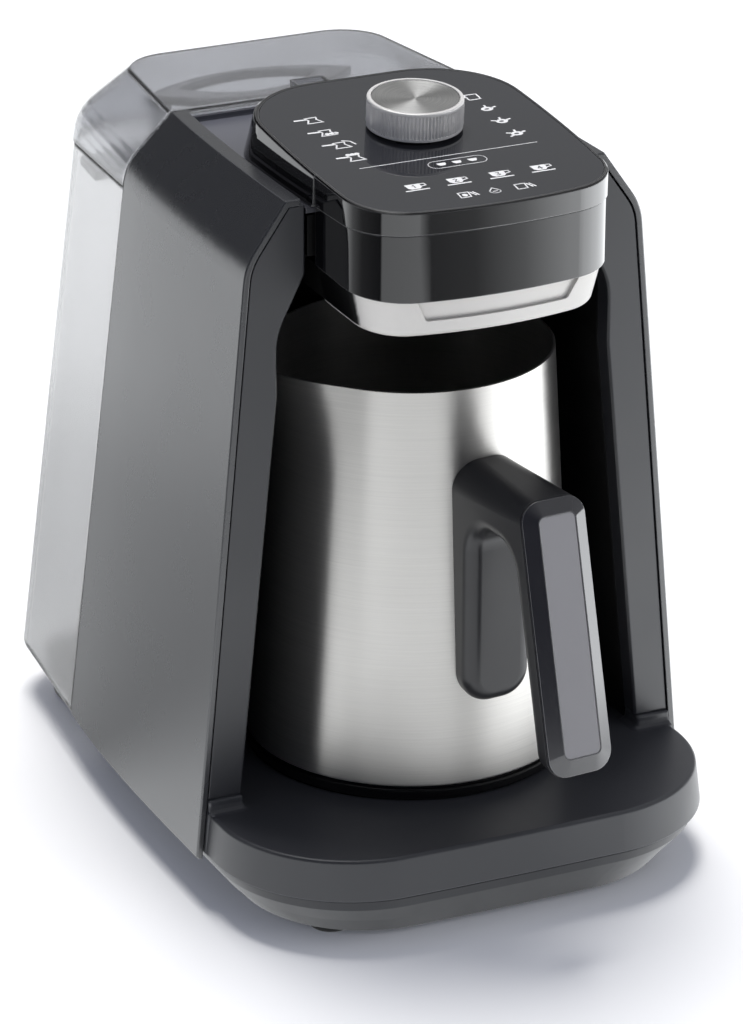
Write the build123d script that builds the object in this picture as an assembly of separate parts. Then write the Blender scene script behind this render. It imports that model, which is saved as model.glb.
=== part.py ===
from build123d import *
import math
import os

os.makedirs("parts", exist_ok=True)

# Electric Turkish coffee maker. All lengths in mm, angles in degrees.
# While building, x runs to the right seen from the front, y runs back from the front edge of the
# side panels and z runs up from the table. Every part is moved by CENTRE_Y when it is written.
CENTRE_Y = 61.47

# Outer shell: two leaning side panels with a bent shoulder, narrower towards the back
Z_SKIRT = 17.2
Z_SHOULDER = 231.9
Z_TOP = 253.0
HALF_SHOULDER = 74.2
HALF_TOP = 59.4
LEAN = 0.0915
SHOULDER_R = 22.0
PLAN_CUBIC = 2.486e-6
PLAN_STRAIGHT_Y = 121.0
PANEL_T = 2.2
PANEL_REAR = [(127.9, 10.0), (110.4, 231.9), (104.9, 253.0), (103.1, 260.0)]
TOP_TAPER = 4.5
TOP_TAPER_Y = 150.0
TOP_SLOPE = 0.018
FLANGE = 5.4
FLANGE_T = 2.2

# Bay in the front, where the pot stands
BAY_HALF_LOW = 76.2
BAY_HALF_MID = 62.4
BAY_Z_MID = 183.0
BAY_REAR = 95.5
BAY_ROOF = 229.0
FRAME_D = 8.0

# Base
Z_BASE = 34.3
Z_SEAM = 19.6
BASE_HALF = 89.2
BASE_FRONT = -59.1
BASE_R = 49.0
BASE_FLARE = 1.8
PAN_HALF = 77.7
PAN_FRONT = -50.5
PAN_R = 44.0
Z_PAN = 2.4
FOOT_R = 7.6
FEET = [(-57.5, -32.0), (57.5, -32.0), (-57.0, 168.0), (57.0, 168.0)]
PLATE_R = 55.0
SCREWS = [(-40.0, 40.0), (40.0, 40.0), (-40.0, 130.0), (40.0, 130.0)]

# Head: its decks slope down to the front by HEAD_SLOPE
HEAD_SLOPE = 0.0711
HEAD_HALF = 46.8
HEAD_BULGE = 2.4
HEAD_FRONT = -43.0
HEAD_BOW = 3.6
HEAD_FRONT_R = 22.0
HEAD_REAR = 74.0
HEAD_REAR_R = 32.0
HEAD_FLARE = 9.0
Z_HEAD_TOP = 260.8
Z_BEZEL = 249.9
Z_BAND = 229.1
Z_TRIM = 215.1
HEAD_SIDE_END = 0.0
HEAD_WALL = 2.4
CORE_HALF = 50.0
CORE_REAR = 84.0
DECK_DROP = 2.0
DISH_DROP = 3.8
DECK_T = 1.8
NOZZLES = (-14.0, 14.0)

# Knob
KNOB_Y = 25.7
KNOB_R = 16.65
KNOB_H = 10.2
KNOB_GAP = 1.1
KNOB_TEETH = 84
SHAFT_R = 3.0
SHAFT_CLEARANCE = 0.05

# Pot
POT_X = 2.0
POT_Y = 31.5
POT_R_LOW = 57.9
POT_R_RIM = 49.9
Z_POT_LOW = 39.9
Z_POT_RIM = 183.1
POT_WALL = 0.9
HANDLE_TURN = 4.7
SPOUT_Z = 148.0
SPOUT_REACH = 7.0
SPOUT_SPREAD = 42.0
ROOT_Z = 115.0
ROOT_SIZE = (25.8, 86.0)
ROOT_CORNER = 11.0
ROOT_FACE = 62.5
GRIP_TOP = (92.3, 157.8)
GRIP_LOW = (115.1, 65.3)
GRIP_HALF = 12.4
GRIP_CORNER = 7.0
GRIP_CORE = 9.0
ARCH_Z = 139.5
ARCH_R = 11.0

# Water tank
Z_TANK = 15.8
TANK_WALL = 2.4
TANK_GAP = 0.6
REAR_LOW = 208.9
REAR_LEAN = 0.0904
REAR_SHOULDER_Z = 229.0
REAR_TOP = 168.6
TANK_R = 22.5
TANK_R_TOP = 18.0
PART_Z_FRONT = 223.6
PART_SLOPE = -0.062
LID_T = 2.2
LID_GAP = 0.8
LID_LEVELS = [212.0, 222.0, 226.0, 229.0, 232.0, 235.0, 238.0, 241.0, 246.0, 252.9]
FLOAT_AT = (46.0, 148.0)


def plan_drop(y):
    """How much narrower each side is at depth y than at the front."""
    if y <= 0:
        return 0.0
    if y <= PLAN_STRAIGHT_Y:
        return PLAN_CUBIC * y ** 3
    slope = 3 * PLAN_CUBIC * PLAN_STRAIGHT_Y ** 2
    return PLAN_CUBIC * PLAN_STRAIGHT_Y ** 3 + slope * (y - PLAN_STRAIGHT_Y)


def bent_line(z, z_bend, at_bend, low_slope, high_slope, inset, bend_r):
    """Outer position at height z of a wall with two straight runs and a round bend, set in."""
    a_low = math.atan(low_slope)
    a_high = math.atan(high_slope)
    r = bend_r - inset
    off_low = at_bend - bend_r / math.cos(a_low)
    off_high = at_bend - bend_r / math.cos(a_high)
    dz = (off_high - off_low) / (high_slope - low_slope)
    zc = z_bend + dz
    xc = off_low - low_slope * dz
    if z < zc + r * math.sin(a_low):
        return at_bend + low_slope * (z_bend - z) - inset / math.cos(a_low)
    if z > zc + r * math.sin(a_high):
        return at_bend + high_slope * (z_bend - z) - inset / math.cos(a_high)
    return xc + math.sqrt(r * r - (z - zc) ** 2)


def high_slope(y):
    """Lean of the shoulder's upper run at depth y; it grows a little towards the back."""
    depth = min(1.0, max(0.0, y / TOP_TAPER_Y))
    half_top = HALF_TOP - TOP_TAPER * depth ** 1.25
    return (HALF_SHOULDER - half_top) / (Z_TOP - Z_SHOULDER)


def half_width(z, inset=0.0, y=0.0):
    """Half width of the shell at height z, before the plan's narrowing at depth y."""
    return bent_line(z, Z_SHOULDER, HALF_SHOULDER, LEAN, high_slope(y), inset, SHOULDER_R)


def top_z(y):
    """Height of the shell's top edge at depth y."""
    return Z_TOP - TOP_SLOPE * y


def rear_y(z, inset=0.0):
    """Depth of the tank's rear wall at height z."""
    at_bend = REAR_LOW - REAR_LEAN * (REAR_SHOULDER_Z - Z_SKIRT)
    high = (at_bend - REAR_TOP) / (Z_TOP - REAR_SHOULDER_Z)
    return bent_line(z, REAR_SHOULDER_Z, at_bend, REAR_LEAN, high, inset, SHOULDER_R)


def panel_rear_y(z):
    """Depth of the side panels' rear edge at height z."""
    for (y0, z0), (y1, z1) in zip(PANEL_REAR, PANEL_REAR[1:]):
        if z <= z1:
            return y0 + (y1 - y0) * (z - z0) / (z1 - z0)
    return PANEL_REAR[-1][0]


def shell_section(y, inset, z_low, z_high, bevel=0.0):
    """Front-view section of the shell at depth y; bevel cuts its two lower corners."""
    drop = plan_drop(y)
    if z_high < 215.0:
        right = [(half_width(z, inset) - drop, z) for z in (z_low, z_high)]
        left = [(-x, z) for x, z in reversed(right)]
        return Plane.XZ.offset(-y) * make_face(Polyline(*right, *left, close=True))
    high = high_slope(y)
    a_low = math.atan(LEAN)
    a_high = math.atan(high)
    r = SHOULDER_R - inset
    off_low = HALF_SHOULDER - SHOULDER_R / math.cos(a_low)
    off_high = HALF_SHOULDER - SHOULDER_R / math.cos(a_high)
    dz = (off_high - off_low) / (high - LEAN)
    zc = Z_SHOULDER + dz
    xc = off_low - LEAN * dz - drop
    p_low = (half_width(z_low + bevel, inset) - drop, z_low + bevel)
    p_high = (half_width(z_high, inset, y) - drop, z_high)
    foot_x = p_low[0] - bevel
    a_mid = (a_low + a_high) / 2
    arc = [(xc + r * math.cos(a), zc + r * math.sin(a)) for a in (a_low, a_mid, a_high)]
    mirror = [(-x, z) for x, z in arc]
    edges = [
        Line(p_low, arc[0]),
        ThreePointArc(arc[0], arc[1], arc[2]),
        Line(arc[2], p_high),
        Line(p_high, (-p_high[0], p_high[1])),
        Line((-p_high[0], p_high[1]), mirror[2]),
        ThreePointArc(mirror[2], mirror[1], mirror[0]),
        Line(mirror[0], (-p_low[0], p_low[1])),
    ]
    if bevel:
        edges.append(Line((-p_low[0], p_low[1]), (-foot_x, z_low)))
        edges.append(Line((foot_x, z_low), p_low))
    edges.append(Line((-foot_x, z_low), (foot_x, z_low)))
    return Plane.XZ.offset(-y) * make_face(edges)


def shell_solid(inset, z_low, z_high, y0=0.0, y1=140.0, bevel=0.0):
    """Solid inside the shell's outer surface, set in by inset."""
    depths = [y0, 30.0, 60.0, 85.0, 105.0, PLAN_STRAIGHT_Y, y1]
    return loft([shell_section(y, inset, z_low, z_high, bevel) for y in depths])


def side_prism(points, half=150.0):
    """Prism along x from (y, z) points."""
    face = make_face(Plane.YZ * Polyline(*points, close=True))
    return extrude(face, amount=half, both=True)


def box(x0, x1, y0, y1, z0, z1):
    return Pos((x0 + x1) / 2, (y0 + y1) / 2, (z0 + z1) / 2) * Box(x1 - x0, y1 - y0, z1 - z0)


def below_top(step):
    """Region under the plane of the shell's top edges, moved up by step."""
    y0 = -20.0
    y1 = 230.0
    return side_prism([(y0, 0.0), (y0, top_z(y0) + step), (y1, top_z(y1) + step), (y1, 0.0)])


def ahead_of_panel_rear(step):
    """Region in front of the panels' rear edge, moved forward by step."""
    pts = [(y - step, z) for y, z in PANEL_REAR]
    return side_prism([(-90.0, 10.0)] + pts + [(-90.0, 260.0)])


def largest(shape):
    return sorted(shape.solids(), key=lambda s: s.volume)[-1]


def side_panel(sign):
    edge = 0.45
    nose = loft([shell_section(0.0, edge, Z_SKIRT, Z_TOP - edge, 0.8),
                 shell_section(edge, 0.0, Z_SKIRT, Z_TOP, 0.8)], ruled=True)
    outer = nose + shell_solid(0.0, Z_SKIRT, Z_TOP, edge, 140.0, 0.8) & ahead_of_panel_rear(0.0)
    outer = outer & below_top(0.0)
    inner = shell_solid(PANEL_T, Z_SKIRT - 5, Z_TOP + 4, -2.0, 142.0) & below_top(-FLANGE_T)
    well = extrude(Pos(0, 0, 240.0) * deck_face(FLANGE, -2.0, 142.0), amount=20.0)
    half = outer - inner - well
    wanted = [s for s in half.solids() if s.center().X * sign > 0]
    panel = wanted[0]
    rib = box(-80, 80, 12.0, 14.0, 60.0, 200.0) & shell_solid(PANEL_T - 0.4, 55.0, 205.0)
    rib = rib - shell_solid(PANEL_T + 2.6, 50.0, 210.0, -2.0, 142.0)
    clips = [s for s in rib.solids() if s.center().X * sign > 0]
    return panel + clips[0]


def bay_points(grow, z_low, z_high):
    """Right edge of the bay opening in the front view, from the bottom up."""
    slope = (BAY_HALF_LOW - BAY_HALF_MID) / (BAY_Z_MID - 42.0)
    low = BAY_HALF_LOW + slope * (42.0 - z_low)
    return [
        (low + grow, z_low),
        (BAY_HALF_MID + grow, BAY_Z_MID),
        (BAY_HALF_MID + grow, 205.5),
        (52.0 + grow, 226.0),
        (52.0 + grow, z_high),
    ]


def frame_leg(sign):
    z_low = 39.2
    z_high = top_z(0.0) - FLANGE_T - 0.4
    inset = PANEL_T + 0.7
    outer = shell_solid(inset, z_low, z_high, 0.4, 140.0) & box(0, 120, 0, 0.4 + FRAME_D, 30, 260)
    pts = bay_points(0.0, 30.0, 260.0)
    wire = Polyline((0, 30.0), *pts, (0, 260.0), close=True)
    face = make_face(wire)
    corners = face.vertices().filter_by(lambda v: 200 < v.Y < 230)
    face = fillet([corners.sort_by(Axis.Y)[0]], 26.0)
    upper = face.vertices().filter_by(lambda v: 225.5 < v.Y < 226.5)
    face = fillet(upper, 4.0)
    bay = extrude(Plane.XZ * face, amount=-20.0, both=True)
    leg = largest(outer - bay)
    front = [e for e in leg.edges() if abs(e.center().Y - 0.4) < 1e-3 and 40 < e.center().Z < 250]
    inner = [e for e in front if e.center().X < half_width(e.center().Z) - 8]
    leg = chamfer(inner, 0.7)
    return leg if sign > 0 else mirror(leg, Plane.YZ)


def bay_cavity(grow, rear, z_low, z_high):
    right = bay_points(grow, z_low, z_high)
    left = [(-x, z) for x, z in reversed(right)]
    face = make_face(Polyline(*right, *left, close=True))
    tube = extrude(Plane.XZ * face, amount=-(rear + 20))
    plan = Pos(0, rear / 2 - 40) * RectangleRounded(2 * (80 + grow), rear + 80, 38 + grow)
    return tube & extrude(Pos(0, 0, z_low - 5) * plan, amount=z_high - z_low + 10)


def bay_liner():
    front = 0.8 + FRAME_D
    solid = bay_cavity(2.0, BAY_REAR + 2.0, Z_BASE + 0.3, BAY_ROOF + 2.0)
    hollow = bay_cavity(0.0, BAY_REAR, Z_BASE - 5, BAY_ROOF)
    liner = (solid - hollow) & box(-120, 120, front, 140, 20, 260)
    return largest(liner)


def bulkhead():
    """Upright wall behind the bay, leaning like the panels' rear edge."""
    region = ahead_of_panel_rear(0.8) - ahead_of_panel_rear(3.6)
    wall = shell_solid(PANEL_T + 0.3, 20.0, 245.0, 60.0, 140.0) & region
    hose = Pos(0, 112, 40) * Rot(90, 0, 0) * Cylinder(7.0, 60.0)
    return largest(wall - hose)


def base_face(half, front, corner, bow=1.9, rear=0.6):
    """Plan outline of the base: bowed front with wide round corners."""
    edge_y = front + bow
    wire = [
        ThreePointArc((-half, edge_y), (0, front), (half, edge_y)),
        Line((half, edge_y), (half, rear)),
        Line((half, rear), (-half, rear)),
        Line((-half, rear), (-half, edge_y)),
    ]
    face = make_face(wire)
    corners = face.vertices().filter_by(lambda v: v.Y < rear - 5)
    return fillet(corners, corner)


def leg_pad():
    """Low pad under the leg's foot, with a cove where it meets the tray."""
    plan = Pos(83.0, 3.7) * RectangleRounded(12.8, 9.8, 0.9)
    pad = extrude(Pos(0, 0, Z_BASE - 1.0) * plan, amount=39.0 - Z_BASE + 1.0)
    rim = [e for e in pad.edges() if abs(e.center().Z - 39.0) < 1e-3]
    pad = fillet(rim, 0.8)
    skirts = []
    for grow, z in ((2.6, Z_BASE), (1.2, Z_BASE + 0.35), (0.4, Z_BASE + 1.1), (0.0, Z_BASE + 2.5)):
        skirts.append(Pos(83.0, 3.7, z) * RectangleRounded(12.8 + 2 * grow, 9.8 + 2 * grow, 0.9 + grow))
    cove = loft(skirts, ruled=True) & box(60, 89.4, -20, 8.6, 30, 60)
    return pad + cove


def base_tray():
    top = Pos(0, 0, Z_BASE) * base_face(BASE_HALF, BASE_FRONT, BASE_R)
    low_half = BASE_HALF + BASE_FLARE
    low = Pos(0, 0, Z_SEAM) * base_face(low_half, BASE_FRONT - BASE_FLARE, BASE_R + BASE_FLARE)
    front = loft([low, top], ruled=True)
    rim = [e for e in front.edges() if abs(e.center().Z - Z_BASE) < 1e-3 and e.center().Y < 0]
    front = fillet(rim, 1.3)
    front = front & box(-120, 120, -80, -0.3, 0, 60)
    rear = shell_solid(PANEL_T + 0.3, Z_SEAM, Z_BASE, -2.0, 140.0)
    rear = rear & ahead_of_panel_rear(4.2) & box(-120, 120, -1.5, 140, 0, 60)
    tray = front + rear
    for sign in (-1, 1):
        pad = leg_pad()
        tray = tray + (pad if sign > 0 else mirror(pad, Plane.YZ))
    seat = Pos(0, POT_Y, Z_BASE - 3.0) * Cylinder(PLATE_R + 0.3, 6.2)
    return largest(tray - seat)


def base_pan():
    low_half = BASE_HALF + BASE_FLARE - 0.6
    top = Pos(0, 0, Z_SEAM - 0.5) * base_face(low_half, BASE_FRONT - BASE_FLARE + 0.6, BASE_R + 2, rear=120)
    mid = Pos(0, 0, Z_SEAM - 4.5) * base_face(low_half - 2.2, BASE_FRONT + 0.4, BASE_R, rear=118)
    low = Pos(0, 0, Z_PAN) * base_face(PAN_HALF, PAN_FRONT, PAN_R, rear=110)
    hip = Pos(0, 0, 8.6) * base_face(low_half - 7.0, BASE_FRONT + 4.6, BASE_R - 1, rear=114)
    bowl = loft([mid, top], ruled=True) + loft([low, hip, mid], ruled=True)
    inside = shell_solid(PANEL_T + 0.3, 5.0, 60.0, -2.0, 140.0)
    rear_keep = box(-120, 120, -0.2, 140, 0, 60) - inside
    bowl = bowl - rear_keep
    dock_plan = Pos(0, 140) * RectangleRounded(150, 110, 20)
    dock = extrude(Pos(0, 0, Z_PAN) * dock_plan, amount=Z_TANK - 0.3 - Z_PAN)
    pan = bowl + dock
    for x, y in FEET:
        pan = pan - Pos(x, y, Z_PAN) * Cylinder(FOOT_R + 0.3, 4.0)
    for x, y in SCREWS:
        pan = pan - Pos(x, y, Z_PAN) * Cylinder(4.2, 6.0)
    socket = Pos(0, 160, Z_TANK - 2.5) * Cylinder(9.3, 6.0)
    gland = Pos(40, 196, 9.0) * Rot(90, 0, 0) * Cylinder(4.3, 16.0)
    return largest(pan - socket - gland)


def foot(x, y):
    pad = Pos(x, y, 2.1) * Cylinder(FOOT_R, 4.2)
    low = pad.edges().filter_by(GeomType.CIRCLE).sort_by(Axis.Z)[0]
    return fillet(low, 0.8)


def pan_screws():
    group = Part()
    for x, y in SCREWS:
        head = Pos(x, y, Z_PAN + 1.6) * Cylinder(3.6, 2.0)
        cross = box(x - 0.5, x + 0.5, y - 2.2, y + 2.2, Z_PAN, Z_PAN + 1.5)
        cross = cross + box(x - 2.2, x + 2.2, y - 0.5, y + 0.5, Z_PAN, Z_PAN + 1.5)
        group = group + (head - cross)
    return group


def hot_plate():
    disc = Pos(0, POT_Y, Z_BASE - 1.35) * Cylinder(PLATE_R - 4.3, 3.3)
    top = disc.edges().filter_by(GeomType.CIRCLE).sort_by(Axis.Z)[-1]
    disc = fillet(top, 0.5)
    return disc - Pos(0, POT_Y, Z_BASE) * Cylinder(7.2, 20.0)


def plate_ring():
    ring = Pos(0, POT_Y, Z_BASE - 1.5) * Cylinder(PLATE_R, 3.0)
    return ring - Pos(0, POT_Y, Z_BASE) * Cylinder(PLATE_R - 4.0, 10.0)


def plate_sensor():
    button = Pos(0, POT_Y, Z_BASE - 1.35) * Cylinder(6.9, 3.3)
    top = button.edges().filter_by(GeomType.CIRCLE).sort_by(Axis.Z)[-1]
    return fillet(top, 0.5)


def head_face(inset, rear=HEAD_REAR):
    """Plan outline of the head, set in by inset."""
    half = HEAD_HALF - inset
    front = HEAD_FRONT + inset
    edge_y = front + HEAD_BOW * 1.6
    back = rear - inset
    y_mid = (edge_y + back) / 2
    wide = half + HEAD_BULGE
    wire = [
        ThreePointArc((-half, edge_y), (0, front), (half, edge_y)),
        ThreePointArc((half, edge_y), (wide, y_mid), (half, back)),
        Line((half, back), (-half, back)),
        ThreePointArc((-half, back), (-wide, y_mid), (-half, edge_y)),
    ]
    face = make_face(wire)
    fronts = face.vertices().filter_by(lambda v: v.Y < 0)
    face = fillet(fronts, HEAD_FRONT_R - inset)
    rears = face.vertices().filter_by(lambda v: v.Y > back - 1)
    return fillet(rears, HEAD_REAR_R - inset)


def head_prism(inset, z0=200.0, z1=280.0):
    return extrude(Pos(0, 0, z0) * head_face(inset), amount=z1 - z0)


def sloped(z_low, z_high, y0=-90.0, y1=150.0):
    """Slab between two planes that slope down to the front."""
    pts = [
        (y0, z_low + HEAD_SLOPE * y0),
        (y1, z_low + HEAD_SLOPE * y1),
        (y1, z_high + HEAD_SLOPE * y1),
        (y0, z_high + HEAD_SLOPE * y0),
    ]
    return side_prism(pts)


def panel_seat():
    return head_prism(1.2) & sloped(Z_HEAD_TOP - 2.6, Z_HEAD_TOP + 5)


def rim_z(y):
    """Lower edge of the head's rim over the deck at depth y."""
    return top_z(y) - DISH_DROP + 0.2


def ahead(z_low, z_high, y1=HEAD_SIDE_END):
    """Level slab in front of depth y1."""
    return box(-90, 90, -90, y1, z_low, z_high)


def head_bezel():
    """Front part of the head's rim."""
    ring = head_prism(0.0) - head_prism(HEAD_WALL)
    bezel = ring & sloped(Z_BEZEL - 12, Z_HEAD_TOP, -90, HEAD_SIDE_END) & ahead(Z_BEZEL, 280.0)
    top = [e for e in bezel.edges() if on_head_top(e) and on_outline(e)]
    bezel = chamfer(top, 0.6)
    return largest(bezel - panel_seat())


def on_head_top(e):
    c = e.center()
    return abs(c.Z - (Z_HEAD_TOP + HEAD_SLOPE * c.Y)) < 0.35 and abs(c.Z - Z_HEAD_TOP) < 8


def on_outline(e):
    c = e.position_at(0.5)
    if abs(c.Y - HEAD_SIDE_END) < 0.25:
        return False
    inner = extrude(Pos(0, 0, 200) * head_face(0.4), amount=90)
    return not inner.is_inside(c)


def head_shroud():
    """Rear part of the head's rim, standing on the deck."""
    y0 = HEAD_SIDE_END + 0.1
    y1 = 100.0
    pts = [
        (y0, Z_BEZEL),
        (1.0, Z_BEZEL),
        (1.0, rim_z(1.0)),
        (y1, rim_z(y1)),
        (y1, Z_HEAD_TOP + HEAD_SLOPE * y1),
        (y0, Z_HEAD_TOP + HEAD_SLOPE * y0),
    ]
    foot_face = Pos(0, 0, 247.0) * head_face(-0.7, HEAD_REAR + HEAD_FLARE)
    flared = loft([foot_face, Pos(0, 0, 267.0) * head_face(0.0)], ruled=True)
    ring = (flared - head_prism(HEAD_WALL)) & side_prism(pts)
    ring = largest(ring)
    top = [e for e in ring.edges() if on_head_top(e) and on_outline(e)]
    ring = chamfer(top, 0.6)
    return largest(ring - panel_seat())


def panel_carrier():
    """Moulding inside the head's rim that carries the control panel."""
    pts = [
        (-90, Z_BEZEL + 0.1),
        (0.8, Z_BEZEL + 0.1),
        (1.0, rim_z(1.0)),
        (120, rim_z(120)),
        (120, Z_HEAD_TOP - 2.8 + 120 * HEAD_SLOPE),
        (-90, Z_HEAD_TOP - 2.8 - 90 * HEAD_SLOPE),
    ]
    block = head_prism(HEAD_WALL + 0.2) & side_prism(pts)
    return block - knob_frame() * Pos(0, 0, -5) * Cylinder(8.2, 40.0)


def knob_frame():
    """Frame on the control panel's face with z along the knob's axis."""
    z = Z_HEAD_TOP + HEAD_SLOPE * KNOB_Y
    return Pos(0, KNOB_Y, z) * Rot(math.degrees(math.atan(HEAD_SLOPE)), 0, 0)


def control_panel():
    glass = head_prism(1.4) & sloped(Z_HEAD_TOP - 2.4, Z_HEAD_TOP - 0.1)
    return glass - knob_frame() * Cylinder(SHAFT_R + 0.6, 20.0)


def knob_bush():
    body = Pos(0, 0, -6.2) * Cylinder(7.9, 6.6)
    return knob_frame() * (body - Cylinder(SHAFT_R + SHAFT_CLEARANCE, 40.0))


def knob_switch():
    """Rotary switch body under the bush."""
    body = Pos(0, 0, -12.6) * Box(11.0, 11.0, 4.0)
    return knob_frame() * body


def knob_slider():
    """Push button between the knob's shaft and the switch; it moves when the knob is pressed."""
    return knob_frame() * Pos(0, 0, -9.6) * Cylinder(2.6, 0.5)


def knob_shaft():
    stem = Pos(0, 0, -2.0) * Cylinder(SHAFT_R, 14.6)
    return knob_frame() * stem


def knob_ring():
    """Straight-knurled ring: a toothed band between two plain collars."""
    r_low = KNOB_R - 0.55
    pts = []
    for i in range(KNOB_TEETH * 2):
        a = math.pi * i / KNOB_TEETH
        r = KNOB_R if i % 2 else r_low
        pts.append((r * math.cos(a), r * math.sin(a)))
    band = extrude(make_face(Polyline(*pts, close=True)), amount=KNOB_H - 2.2)
    band = Pos(0, 0, KNOB_GAP + 0.9) * band
    low = Pos(0, 0, KNOB_GAP + 0.45) * Cylinder(KNOB_R - 0.1, 0.9)
    top = Pos(0, 0, KNOB_GAP + KNOB_H - 0.65) * Cylinder(KNOB_R - 0.1, 1.3)
    rim = top.edges().filter_by(GeomType.CIRCLE).sort_by(Axis.Z)[-1]
    top = fillet(rim, 0.55)
    ring = band + low + top
    pocket = Pos(0, 0, KNOB_GAP + KNOB_H) * Cylinder(KNOB_R - 1.5, 3.2)
    under = Pos(0, 0, KNOB_GAP) * Cylinder(KNOB_R - 3.4, 8.0)
    under = under - Pos(0, 0, KNOB_GAP) * Cylinder(6.0, 8.0)
    ring = ring - pocket - under - Cylinder(SHAFT_R + SHAFT_CLEARANCE, 40.0)
    return knob_frame() * ring


def knob_cap():
    """Dished disc pressed into the top of the ring."""
    base = KNOB_GAP + KNOB_H - 1.55
    disc = Pos(0, 0, base + 0.65) * Cylinder(KNOB_R - 1.6, 1.3)
    dish = Pos(0, 0, base + 1.3 + 199.55) * Sphere(200.0)
    rim = disc.edges().filter_by(GeomType.CIRCLE).sort_by(Axis.Z)[-1]
    disc = chamfer(rim, 0.25)
    return knob_frame() * (disc - dish)


def head_band():
    ring = head_prism(0.4) - head_prism(0.4 + HEAD_WALL)
    band = (ring & sloped(Z_BAND, Z_BAND + 40, -90, HEAD_SIDE_END)) & ahead(200.0, Z_BEZEL - 0.3)
    return largest(band)


def head_core():
    """Matte inner body of the head; the band, rim and trim are fixed to it."""
    rear_top = top_z(CORE_REAR) - DISH_DROP - DECK_T - 0.2
    rear = box(-CORE_HALF, CORE_HALF, 3.4, CORE_REAR, BAY_ROOF + 2.2, rear_top)
    neck = box(-HEAD_HALF + 3.4, HEAD_HALF - 3.4, -0.2, 3.6, BAY_ROOF + 2.2, rear_top)
    nose = head_prism(0.4 + HEAD_WALL + 0.15) & sloped(Z_BAND + 0.2, Z_BAND + 40, -90, 0.0)
    nose = nose & ahead(200.0, Z_BEZEL - 0.4)
    core = rear + neck + nose
    return largest(core - Pos(0, KNOB_Y, 245) * Cylinder(9.5, 20.0))


def trim_solid(inset_top, inset_low, z_top, z_low):
    top = Pos(0, 0, z_top) * head_face(inset_top)
    low = Pos(0, 0, z_low) * head_face(inset_low)
    return loft([low, top], ruled=True)


def brew_trim():
    z_top = Z_BAND + 2.0
    z_low = Z_TRIM - 5.0
    outer = trim_solid(0.6, 5.3, z_top, z_low)
    inner = trim_solid(0.6 + 2.2, 5.3 + 2.2, z_top, z_low)
    outer = outer & sloped(Z_TRIM, Z_BAND - 0.25, -90, HEAD_SIDE_END)
    low = [e for e in outer.edges() if abs(e.center().Z - Z_TRIM - HEAD_SLOPE * e.center().Y) < 0.3]
    outer = fillet([e for e in low if e.center().Y < HEAD_SIDE_END - 0.1], 1.4)
    trim = largest(outer - inner)
    pts = [(-31.8, 230.6), (33.1, 230.6), (26.9, 218.2), (-25.5, 218.2)]
    face = fillet(make_face(Polyline(*pts, close=True)).vertices(), 1.6)
    label = extrude(Plane.XZ.offset(20) * face, amount=40)
    pocket = label - trim_solid(0.6 + 1.2, 5.3 + 1.2, z_top, z_low)
    return largest(trim - pocket)


def head_underside():
    """Closing piece under the head with the openings for water and light."""
    z_top = Z_BAND + 2.0
    z_low = Z_TRIM - 5.0
    plug = trim_solid(3.1, 7.8, z_top, z_low)
    skirt = trim_solid(0.9, 5.6, z_top, z_low)
    body = plug & sloped(Z_TRIM + 0.8, Z_BAND - 0.2, -90, 0.4)
    back = (plug + skirt) & side_prism([(0.2, Z_TRIM + 0.8), (0.2, BAY_ROOF - 0.3),
                                        (90, BAY_ROOF - 0.3), (90, Z_TRIM + 4.0)])
    body = body + back
    for x in NOZZLES:
        body = body - Pos(x, POT_Y - 20, 215) * Cylinder(4.3, 14.0)
    return largest(body - Pos(0, POT_Y + 4, 215) * Cylinder(8.3, 8.0))


def water_nozzle():
    tube = Pos(NOZZLES[0], POT_Y - 20, 214.4) * (Cylinder(4.0, 8.0) - Cylinder(1.9, 10.0))
    low = tube.edges().filter_by(GeomType.CIRCLE).sort_by(Axis.Z)[0]
    return fillet(low, 0.6)


def steam_nozzle():
    tube = Pos(NOZZLES[1], POT_Y - 20, 214.4) * (Cylinder(4.0, 8.0) - Cylinder(1.2, 10.0))
    low = tube.edges().filter_by(GeomType.CIRCLE).sort_by(Axis.Z)[0]
    return fillet(low, 0.6)


def foam_sensor():
    lens = Pos(0, POT_Y + 4, 216.6) * Cylinder(8.0, 3.0)
    low = lens.edges().filter_by(GeomType.CIRCLE).sort_by(Axis.Z)[0]
    return fillet(low, 1.0)


def deck_face(inset, y0, y1):
    """Plan outline inside the panels' top edges, set in by inset."""
    depths = [y0, 25.0, 50.0, 75.0, 100.0, y1]
    right = [(half_width(top_z(y), 0.0, y) - plan_drop(y) - inset, y) for y in depths]
    left = [(-x, y) for x, y in right]
    edges = [Spline(*right), Line(right[-1], left[-1]), Spline(*reversed(left)), Line(left[0], right[0])]
    return make_face(edges)


def deck_slab(drop_high, drop_low):
    """Slab between two planes parallel to the shell's top edges."""
    return below_top(-drop_high) - below_top(-drop_low)


def top_deck():
    """Sunk deck between the panels' flanges; the head stands in its dish."""
    block = extrude(Pos(0, 0, 235.0) * deck_face(FLANGE + 0.3, 0.9, 104.0), amount=30.0)
    under = box(-70, 70, 0.9, 104.0, 235, 265) & shell_solid(PANEL_T + 0.3, 200.0, Z_TOP + 4, -2.0, 142.0)
    plate = (block & deck_slab(DECK_DROP, DISH_DROP)) + (under & deck_slab(DISH_DROP, DISH_DROP + DECK_T))
    well = extrude(Pos(0, 0, 240.0) * deck_face(FLANGE + 2.0, 0.0, 102.5), amount=20.0)
    plate = plate - (well & deck_slab(0.0, DISH_DROP))
    for sign in (-1, 1):
        x0, x1 = sorted((sign * 51.6, sign * 80.0))
        plate = plate - box(x0, x1, 0.0, 0.8 + FRAME_D, 235, 265)
    return largest(plate - Pos(0, KNOB_Y, 250) * Cylinder(9.5, 20.0))


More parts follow.
